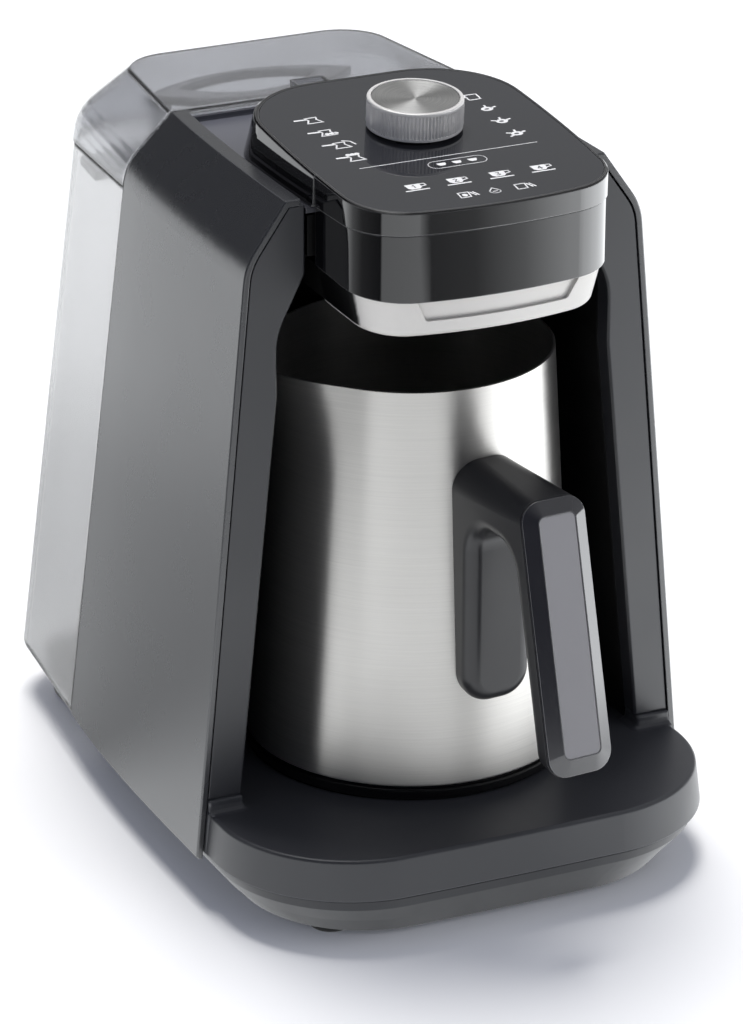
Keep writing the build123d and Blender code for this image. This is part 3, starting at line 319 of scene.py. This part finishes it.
# painted light on the deck's dish, which lies in the lid's shadow
painted_dish_light(deck_paint, tone(94, 95, 103))
inner_black = plastic("inner_black", tone(8, 8, 9), rough=0.62, vary=0.06, grain=1700.0,
                      depth=4e-5, edge=0.0004, edge_lift=1.4, ior=1.45)
pan_black = plastic("pan_black", tone(46, 47, 51), rough=0.46, vary=0.05, grain=1700.0,
                    depth=2e-5, edge=0.0005, edge_lift=1.8, ior=1.38, cloud=0.06)
handle_black = plastic("handle_black", tone(46, 46, 48), rough=0.33, vary=0.04, grain=2200.0,
                       depth=2e-5, edge=0.0005, edge_lift=1.6, ior=1.55)
pot_foot = plastic("pot_foot", tone(12, 12, 14), rough=0.30, vary=0.04, grain=2200.0,
                   depth=1e-5, edge=0.0004, edge_lift=1.6, ior=1.5)
grip_satin = plastic("grip_satin", tone(146, 145, 147), rough=0.40, vary=0.04, grain=2400.0,
                     depth=2e-5, edge=0.0004, edge_lift=1.2, ior=1.5, cloud=0.04)
white_nylon = plastic("white_nylon", tone(205, 205, 203), rough=0.45, vary=0.05, grain=1500.0,
                      depth=3e-5, edge=0.0004, edge_lift=1.02, ior=1.5)
print_white = plastic("print_white", tone(232, 232, 232), rough=0.50, vary=0.05, grain=1500.0,
                      depth=1e-5, edge=0.0002, edge_lift=1.0, ior=1.45, cloud=0.03)
print_dark = plastic("print_dark", tone(60, 61, 66), rough=0.50, vary=0.05, grain=1500.0,
                     depth=1e-5, edge=0.0002, edge_lift=1.0, ior=1.45)
rubber = plastic("rubber", tone(26, 26, 27), rough=0.75, vary=0.06, grain=1200.0,
                 depth=6e-5, edge=0.0006, edge_lift=1.3, ior=1.45)
seal_dark = plastic("seal_dark", tone(38, 39, 42), rough=0.6, vary=0.05, grain=1200.0,
                    depth=4e-5, edge=0.0003, edge_lift=1.3, ior=1.45)

gloss_black = gloss("gloss_black", tone(10, 10, 12), rough=0.03, ior=1.8)
bezel_gloss = gloss("bezel_gloss", tone(10, 10, 12), rough=0.03, ior=1.95)
panel_gloss = gloss("panel_gloss", tone(34, 35, 39), rough=0.02, ior=1.7, edge_glow=0.1)
grip_gloss = gloss("grip_gloss", tone(50, 50, 53), rough=0.08, ior=1.9, edge=0.0003,
                   edge_glow=0.25)

pot_steel = brushed("pot_steel", tone(230, 228, 224), rough=0.37, stretch=(26.0, 26.0, 5200.0),
                    aniso=0.78, strength=0.10, metal=0.93)
trim_silver = brushed("trim_silver", tone(214, 212, 208), rough=0.42, stretch=(60.0, 60.0, 60.0),
                      aniso=0.0, strength=0.03, metal=0.30, contrast=0.03)
dark_flanks(trim_silver, tone(14, 14, 16))
knob_steel = brushed("knob_steel", tone(248, 246, 243), rough=0.18,
                     stretch=(1800.0, 1800.0, 40.0), aniso=0.2, strength=0.1, metal=0.40)
plain_steel = brushed("plain_steel", tone(190, 189, 187), rough=0.32,
                      stretch=(900.0, 900.0, 900.0), aniso=0.0, strength=0.2)
cap_steel = turned_metal("cap_steel", tone(236, 235, 233), KNOB_CENTRE, HEAD_TILT,
                         rough=0.46, rings=5200.0)
plate_steel = turned_metal("plate_steel", tone(120, 119, 118), PLATE_CENTRE, 0.0,
                           rough=0.35, rings=1800.0)

tank_clear = clear_plastic("tank_clear", (0.825, 0.822, 0.828, 1.0), rough=0.16, smooth=0.002)
lid_smoke = clear_plastic("lid_smoke", (0.61, 0.615, 0.64, 1.0), rough=0.02, frost=0.03,
                          smooth=0.0015, wave=0.02, flank=0.12)
inner_clear = clear_plastic("inner_clear", (0.56, 0.57, 0.60, 1.0), rough=0.20, clarity=0.5)
sensor_red = clear_plastic("sensor_red", (0.30, 0.05, 0.05, 1.0), rough=0.04)


def dress(material, *names):
    for name in names:
        slots = NODES[name].data.materials
        slots.clear()
        slots.append(material)


dress(side_paint, "side_panel_left", "side_panel_right")
dress(frame_paint, "frame_leg_left", "frame_leg_right")
dress(tray_paint, "base_tray")
dress(deck_paint, "top_deck")
dress(inner_black, "bay_liner", "bulkhead", "head_core", "panel_carrier", "head_underside",
      "valve_dock", "cord_gland", "plate_ring")
dress(pan_black, "base_pan")
dress(plain_steel, "pan_screws", "handle_screws", "dock_pin", "knob_shaft", "water_nozzle",
      "steam_nozzle", "plate_sensor", "pot_sole")
dress(gloss_black, "head_band", "head_shroud")
dress(bezel_gloss, "head_bezel")
dress(panel_gloss, "control_panel")
dress(trim_silver, "brew_trim")
dress(pot_steel, "pot_body")
dress(pot_foot, "pot_base")
dress(handle_black, "pot_handle")
dress(grip_gloss, "grip_frame")
dress(grip_satin, "grip_face")
dress(knob_steel, "knob_ring")
dress(cap_steel, "knob_cap")
dress(plate_steel, "hot_plate")
dress(tank_clear, "tank_body")
dress(lid_smoke, "tank_lid", "lid_tab")
dress(inner_clear, "tank_bar", "tank_filter", "float_guide", "tank_valve")
dress(white_nylon, "tank_float", "knob_slider", "knob_switch", "knob_bush", "valve_plunger")
dress(rubber, "foot_front_left", "foot_front_right", "foot_rear_left", "foot_rear_right")
dress(seal_dark, "lid_gasket")
dress(sensor_red, "foam_sensor")


# ---------------------------------------------------------------- signs on the control panel

MILLIMETRE = 0.001
WHITE_INK_LIFT = 0.00004  # the dark ink lies over the white one
DARK_INK_LIFT = 0.00008

# outlines and strokes about each sign's own middle; the beaker's heights are the panel's
SMALL_CUP = [(-1.7, 1.0), (1.7, 1.0), (1.5, -0.3), (0.8, -1.1), (-0.8, -1.1), (-1.5, -0.3)]
CUP_BOWL = [(-3.1, 2.3), (2.4, 2.3), (2.2, -0.6), (1.2, -1.7), (-1.9, -1.7), (-2.9, -0.6)]
CUP_HANDLE = [(2.3, 1.9), (3.9, 1.9), (4.1, 0.4), (2.3, -0.1)]
SAUCER = [(-4.2, -2.6), (3.8, -2.6)]
CEZVE = [(-1.5, 2.3), (2.6, 2.3), (2.1, 0.4), (3.4, -2.3), (-2.2, -2.3), (-0.9, 0.4)]
CEZVE_HANDLE = [(-1.4, 1.3), (-5.4, 1.5)]
BEAKER = [(-1.8, -30.4), (2.0, -30.4), (1.6, -34.3), (-2.0, -34.3)]
DIGITS = {
    1: [(-0.4, 0.6), (0.1, 1.1), (0.1, -1.1)],
    2: [(-0.6, 0.8), (0.0, 1.1), (0.6, 0.6), (-0.6, -1.1), (0.7, -1.1)],
    3: [(-0.6, 1.0), (0.5, 1.0), (0.0, 0.1), (0.6, -0.6), (-0.1, -1.1), (-0.7, -0.8)],
    4: [(0.3, -1.1), (0.3, 1.1), (-0.7, -0.4), (0.8, -0.4)],
}
ROW_STEP = 11.5  # between the signs of the two upright columns


def shifted(points, x, y):
    return [(px + x, py + y) for px, py in points]


def arc(x, y, rx, ry, start, step, count):
    """Points of an elliptic arc; start and step in radians."""
    return [(x + rx * math.cos(start + step * k), y + ry * math.sin(start + step * k))
            for k in range(count)]


class Print:
    """Flat printed shapes in millimetres on the control panel's face, gathered into one mesh."""

    def __init__(self):
        self.bm = bmesh.new()

    def fill(self, points):
        corners = [self.bm.verts.new((x, y, 0.0)) for x, y in points]
        self.bm.faces.new(corners)

    def line(self, points, width, closed=False):
        ends = points + points[:1] if closed else points
        for (x0, y0), (x1, y1) in zip(ends, ends[1:]):
            run = math.hypot(x1 - x0, y1 - y0)
            ux, uy = (x1 - x0) / run * width / 2, (y1 - y0) / run * width / 2
            self.fill([(x0 - ux + uy, y0 - uy - ux), (x1 + ux + uy, y1 + uy - ux),
                       (x1 + ux - uy, y1 + uy + ux), (x0 - ux - uy, y0 - uy + ux)])

    def disc(self, x, y, rx, ry):
        self.fill(arc(x, y, rx, ry, 0.0, math.pi / 8, 16))

    def piece(self, name, material, lift):
        mesh = bpy.data.meshes.new(name)
        self.bm.normal_update()
        self.bm.to_mesh(mesh)
        self.bm.free()
        mesh.materials.append(material)
        made = bpy.data.objects.new(name, mesh)
        bpy.context.scene.collection.objects.link(made)
        made.matrix_world = (Matrix.Translation((0.0, -CENTRE_Y, PANEL_Z + lift))
                             @ Matrix.Rotation(HEAD_TILT, 4, "X") @ Matrix.Scale(MILLIMETRE, 4))
        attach(made, "chassis")


def cup(ink, x, y):
    """Cup on a saucer with its handle at the right."""
    ink.fill(shifted(CUP_BOWL, x, y))
    ink.line(shifted(CUP_HANDLE, x, y), width=0.5)
    ink.line(shifted(SAUCER, x, y), width=0.75)


def cezve(ink, x, y):
    """Long-handled pot in outline."""
    ink.line(shifted(CEZVE, x, y), width=0.6, closed=True)
    ink.line(shifted(CEZVE_HANDLE, x, y), width=1.0)


def steam(ink, x, y):
    """Three puffs side by side."""
    for k in (-1.6, 0.0, 1.6):
        ink.disc(x + k, y, 0.95, 0.8)


def left_column(ink):
    """Four pots, two of them steaming and one being poured."""
    for k in range(4):
        cezve(ink, -30.4, 43.2 - ROW_STEP * k)
    steam(ink, -28.6, 30.6)
    ink.line([(-28.0, 23.6), (-25.6, 22.4), (-24.8, 19.6)], width=0.6)
    steam(ink, -29.6, 11.8)


def right_column(ink, dark):
    """A milk jug over three cups from above, with two to four rays."""
    ink.line([(28.0, 45.4), (32.6, 45.4), (32.4, 40.9), (28.2, 40.9)], width=0.6, closed=True)
    ink.line([(26.2, 43.2), (28.0, 43.6)], width=0.9)
    x = 30.4
    for k in range(1, 4):
        y = 43.3 - ROW_STEP * k
        ink.disc(x, y, 2.2, 1.7)
        for ray in range(k + 1):
            a = math.radians(20 + 65 * ray)
            ink.line([(x + 2.0 * math.cos(a), y + 1.7 * math.sin(a)),
                      (x + 3.5 * math.cos(a), y + 2.9 * math.sin(a))], width=0.8)
        dark.disc(30.2, y - 0.1, 0.9, 0.55)


def strength_field(ink):
    """A dividing line, and three small cups in a frame with round ends."""
    ink.line([(-32.3, -0.2), (33.3, -0.2)], width=0.35)
    y, radius, step = -6.4, 2.9, -math.pi / 16
    right_end = arc(8.4, y, radius, radius, math.pi / 2, step, 17)
    left_end = arc(-7.0, y, radius, radius, -math.pi / 2, step, 17)
    ink.line(right_end + left_end, width=0.32, closed=True)
    for x in (-5.1, 0.6, 6.4):
        ink.fill(shifted(SMALL_CUP, x, -6.3))


def cup_row(ink, dark):
    """Four cups with the numbers 1 to 4."""
    for stroke, x in zip(DIGITS.values(), (-21.7, -6.4, 9.3, 24.7)):
        cup(ink, x, -20.6)
        dark.line(shifted(stroke, x - 0.3, -20.3), width=0.38)


def lower_row(ink):
    """Two beakers with two strokes each, one with a dot, and a drop between them."""
    for x in (-9.2, 11.6):
        ink.line(shifted(BEAKER, x, 0.0), width=0.5, closed=True)
        ink.line([(x + 2.6, -31.0), (x + 3.6, -33.6)], width=0.6)
        ink.line([(x + 3.6, -31.0), (x + 4.6, -33.6)], width=0.6)
    ink.disc(-9.2, -32.5, 1.0, 1.1)
    drop = [(1.7, -30.2)] + arc(1.7, -33.0, 1.9, 1.5, math.radians(30), math.radians(-20), 13)
    ink.line(drop, width=0.45, closed=True)
    ink.line([(1.0, -33.0), (2.4, -33.0)], width=0.5)


def print_panel():
    ink = Print()
    dark = Print()
    left_column(ink)
    right_column(ink, dark)
    strength_field(ink)
    cup_row(ink, dark)
    lower_row(ink)
    ink.piece("panel_print", print_white, WHITE_INK_LIFT)
    dark.piece("panel_numbers", print_dark, DARK_INK_LIFT)


print_panel()


# ---------------------------------------------------------------- floor, light, camera

FLOOR_HALF = 4.0
PAPER = (0.88, 0.88, 0.88, 1.0)
LIFT_TINT = (0.82, 0.86, 1.0, 1.0)
FLOOR_LIFT = 0.06  # glow that only the camera and see-through pieces get
CARD_TINT = (0.96, 0.98, 1.0, 1.0)
NEAR_END, FAR_START = 0.42, 0.56  # distances between which the near ring turns into the far one

# What polished surfaces find on the floor, near the machine and further out. Each stop is a
# bearing in degrees from the front, positive to the right, and a brightness.
FLOOR_NEAR = [(-180, 0.85), (-150, 0.85), (-128, 0.60), (-108, 1.30), (-80, 1.50), (-55, 1.60),
              (-30, 1.35), (5, 1.15), (16, 1.16), (26, 1.9), (42, 2.3), (62, 1.9), (85, 1.9),
              (100, 2.1), (140, 1.3), (180, 0.85)]
FLOOR_FAR = [(-180, 1.35), (-130, 1.35), (-110, 0.45), (-90, 0.14), (-56, 0.05), (-54, 1.00),
             (6.0, 1.15), (6.9, 0.20), (17, 0.30), (28, 0.9), (38, 2.0), (50, 3.2), (70, 3.6),
             (120, 3.0), (140, 1.2), (180, 1.35)]

# What polished surfaces find above the floor: an even room with four soft fields in it. Each
# field is a direction, the cosine within which it is full, and the cosine at which it ends.
SHINE_TINT = (0.98, 0.99, 1.0, 1.0)
ROOM = 0.27
BOX_FIELD, BOX_GAIN = ((0.62, 0.60, 0.50), 0.97, 0.80), 0.12
OVER_FIELD, OVER_GAIN = ((-0.10, 0.10, 0.98), 0.97, 0.90), 2.2
FRONT_FIELD, FRONT_LOSS = ((-0.55, -0.80, 0.25), 0.90, 0.30), 0.35
DARK_FIELD, DARK_SHARE = ((-0.52, 0.83, 0.20), 0.93, 0.78), 0.93

# the even sky that lights everything else, and the two suns
DOME_TINT = (0.78, 0.83, 1.0, 1.0)
DOME = 0.36
KEY_SUN = {"direction": (-0.07, -0.35, -1.0), "strength": 2.95, "angle": 25.0,
           "colour": (1.0, 0.985, 0.965)}
FILL_SUN = {"direction": (-0.60, 0.60, -0.60), "strength": 0.62, "angle": 60.0,
            "colour": (1.0, 1.0, 1.0)}


def glossy_and_seen(tree):
    """Whether a ray comes from a polished surface, and whether it shows the background."""
    path = add(tree, "ShaderNodeLightPath").outputs
    seen = math_node(tree, "MAXIMUM", path["Is Camera Ray"], path["Is Transmission Ray"])
    return path["Is Glossy Ray"], seen


def shader_mix(tree, factor, a, b):
    return add(tree, "ShaderNodeMixShader", {0: factor, 1: a, 2: b}).outputs[0]


def emission(tree, colour, strength):
    return add(tree, "ShaderNodeEmission", {"Color": colour, "Strength": strength}).outputs[0]


def background(tree, colour, strength):
    return add(tree, "ShaderNodeBackground", {"Color": colour, "Strength": strength}).outputs[0]


def bearing_glow(tree, x, y, stops):
    """Brightness by compass bearing round the machine."""
    turn = math_node(tree, "ARCTAN2", x, product(tree, y, -1.0))
    ramp = add(tree, "ShaderNodeValToRGB", {0: spread(tree, turn, -math.pi, math.pi, 0.0, 1.0)})
    points = ramp.color_ramp.elements
    while len(points) > 1:
        points.remove(points[0])
    top = max(level for _, level in stops)
    for index, (degrees, level) in enumerate(stops):
        at = (degrees + 180.0) / 360.0
        point = points[0] if index == 0 else points.new(at)
        point.position = at
        point.color = (level / top, level / top, level / top, 1.0)
    return product(tree, ramp.outputs[0], top)


def make_floor():
    """White paper that keeps the shadow; polished surfaces see the two rings of brightness."""
    mesh = bpy.data.meshes.new("floor")
    corners = [(x * FLOOR_HALF, y * FLOOR_HALF, 0) for x, y in ((-1, -1), (1, -1), (1, 1), (-1, 1))]
    mesh.from_pydata(corners, [], [(0, 1, 2, 3)])
    floor = bpy.data.objects.new("floor", mesh)
    bpy.context.scene.collection.objects.link(floor)
    material, t, where = new_material("floor_white")
    glossy, seen = glossy_and_seen(t)
    x, y, _ = xyz(t, where)
    away = add(t, "ShaderNodeVectorMath", {0: where}, operation="LENGTH").outputs["Value"]
    far = spread(t, away, NEAR_END, FAR_START, 0.0, 1.0)
    near_glow = bearing_glow(t, x, y, FLOOR_NEAR)
    far_glow = bearing_glow(t, x, y, FLOOR_FAR)
    glow = total(t, product(t, far_glow, far),
                 product(t, near_glow, math_node(t, "SUBTRACT", 1.0, far)))
    paper = add(t, "ShaderNodeBsdfDiffuse", {"Color": PAPER}).outputs[0]
    lift = emission(t, LIFT_TINT, product(t, seen, FLOOR_LIFT))
    plain = add(t, "ShaderNodeAddShader", {0: paper, 1: lift}).outputs[0]
    cards = emission(t, CARD_TINT, glow)
    add(t, "ShaderNodeOutputMaterial", {"Surface": shader_mix(t, glossy, plain, cards)})
    mesh.materials.append(material)


def toward(tree, ray, direction, full, end):
    """1 for rays close to a direction, fading to 0; full and end are cosines."""
    aim = tuple(Vector(direction).normalized())
    dot = add(tree, "ShaderNodeVectorMath", {0: ray, 1: aim}, operation="DOT_PRODUCT")
    return spread(tree, dot.outputs["Value"], end, full, 0.0, 1.0)


def make_world():
    """Even sky for light, white for the camera, and the room for polished surfaces."""
    world = bpy.data.worlds.new("studio")
    bpy.context.scene.world = world
    world.use_nodes = True
    t = world.node_tree
    t.nodes.clear()
    glossy, seen = glossy_and_seen(t)
    ray = add(t, "ShaderNodeTexCoord").outputs["Generated"]
    level = total(t, ROOM, product(t, toward(t, ray, *BOX_FIELD), BOX_GAIN))
    level = total(t, level, product(t, toward(t, ray, *OVER_FIELD), OVER_GAIN))
    level = math_node(t, "SUBTRACT", level, product(t, toward(t, ray, *FRONT_FIELD), FRONT_LOSS))
    dark = product(t, toward(t, ray, *DARK_FIELD), DARK_SHARE)
    level = product(t, level, math_node(t, "SUBTRACT", 1.0, dark))
    light = shader_mix(t, glossy, background(t, DOME_TINT, DOME), background(t, SHINE_TINT, level))
    shown = shader_mix(t, seen, light, background(t, WHITE, 1.0))
    add(t, "ShaderNodeOutputWorld", {"Surface": shown})


def make_sun(name, direction, strength, angle, colour):
    """Soft sun that lights but doesn't mirror; angle in degrees."""
    lamp = bpy.data.lights.new(name, "SUN")
    lamp.energy = strength
    lamp.angle = math.radians(angle)
    lamp.color = colour
    holder = bpy.data.objects.new(name, lamp)
    holder.rotation_mode = "QUATERNION"
    holder.rotation_quaternion = Vector(direction).to_track_quat("-Z", "Y")
    holder.visible_glossy = False
    bpy.context.scene.collection.objects.link(holder)


# the camera that was fitted to the photograph's outline
CAMERA_AT = (-0.7554, -1.61277, 0.8606)
CAMERA_RIGHT = (0.9059, -0.4235, 0.0033)
CAMERA_FORWARD = (0.3912, 0.8338, -0.3895)
CAMERA_LENS, CAMERA_SENSOR = 191.5, 36.0  # millimetres
CAMERA_NEAR, CAMERA_FAR = 0.05, 50.0


def make_camera():
    camera = bpy.data.cameras.new("camera")
    camera.sensor_fit = "AUTO"
    camera.sensor_width = CAMERA_SENSOR
    camera.lens = CAMERA_LENS
    camera.clip_start = CAMERA_NEAR
    camera.clip_end = CAMERA_FAR
    holder = bpy.data.objects.new("camera", camera)
    forward = Vector(CAMERA_FORWARD).normalized()
    up = Vector(CAMERA_RIGHT).normalized().cross(forward).normalized()
    right = forward.cross(up).normalized()
    turn = Matrix((right, up, -forward)).transposed().to_4x4()
    holder.matrix_world = Matrix.Translation(CAMERA_AT) @ turn
    bpy.context.scene.collection.objects.link(holder)
    bpy.context.scene.camera = holder


make_floor()
make_world()
make_sun("key_sun", **KEY_SUN)
make_sun("fill_sun", **FILL_SUN)
make_camera()
bpy.context.scene.view_settings.view_transform = "Standard"
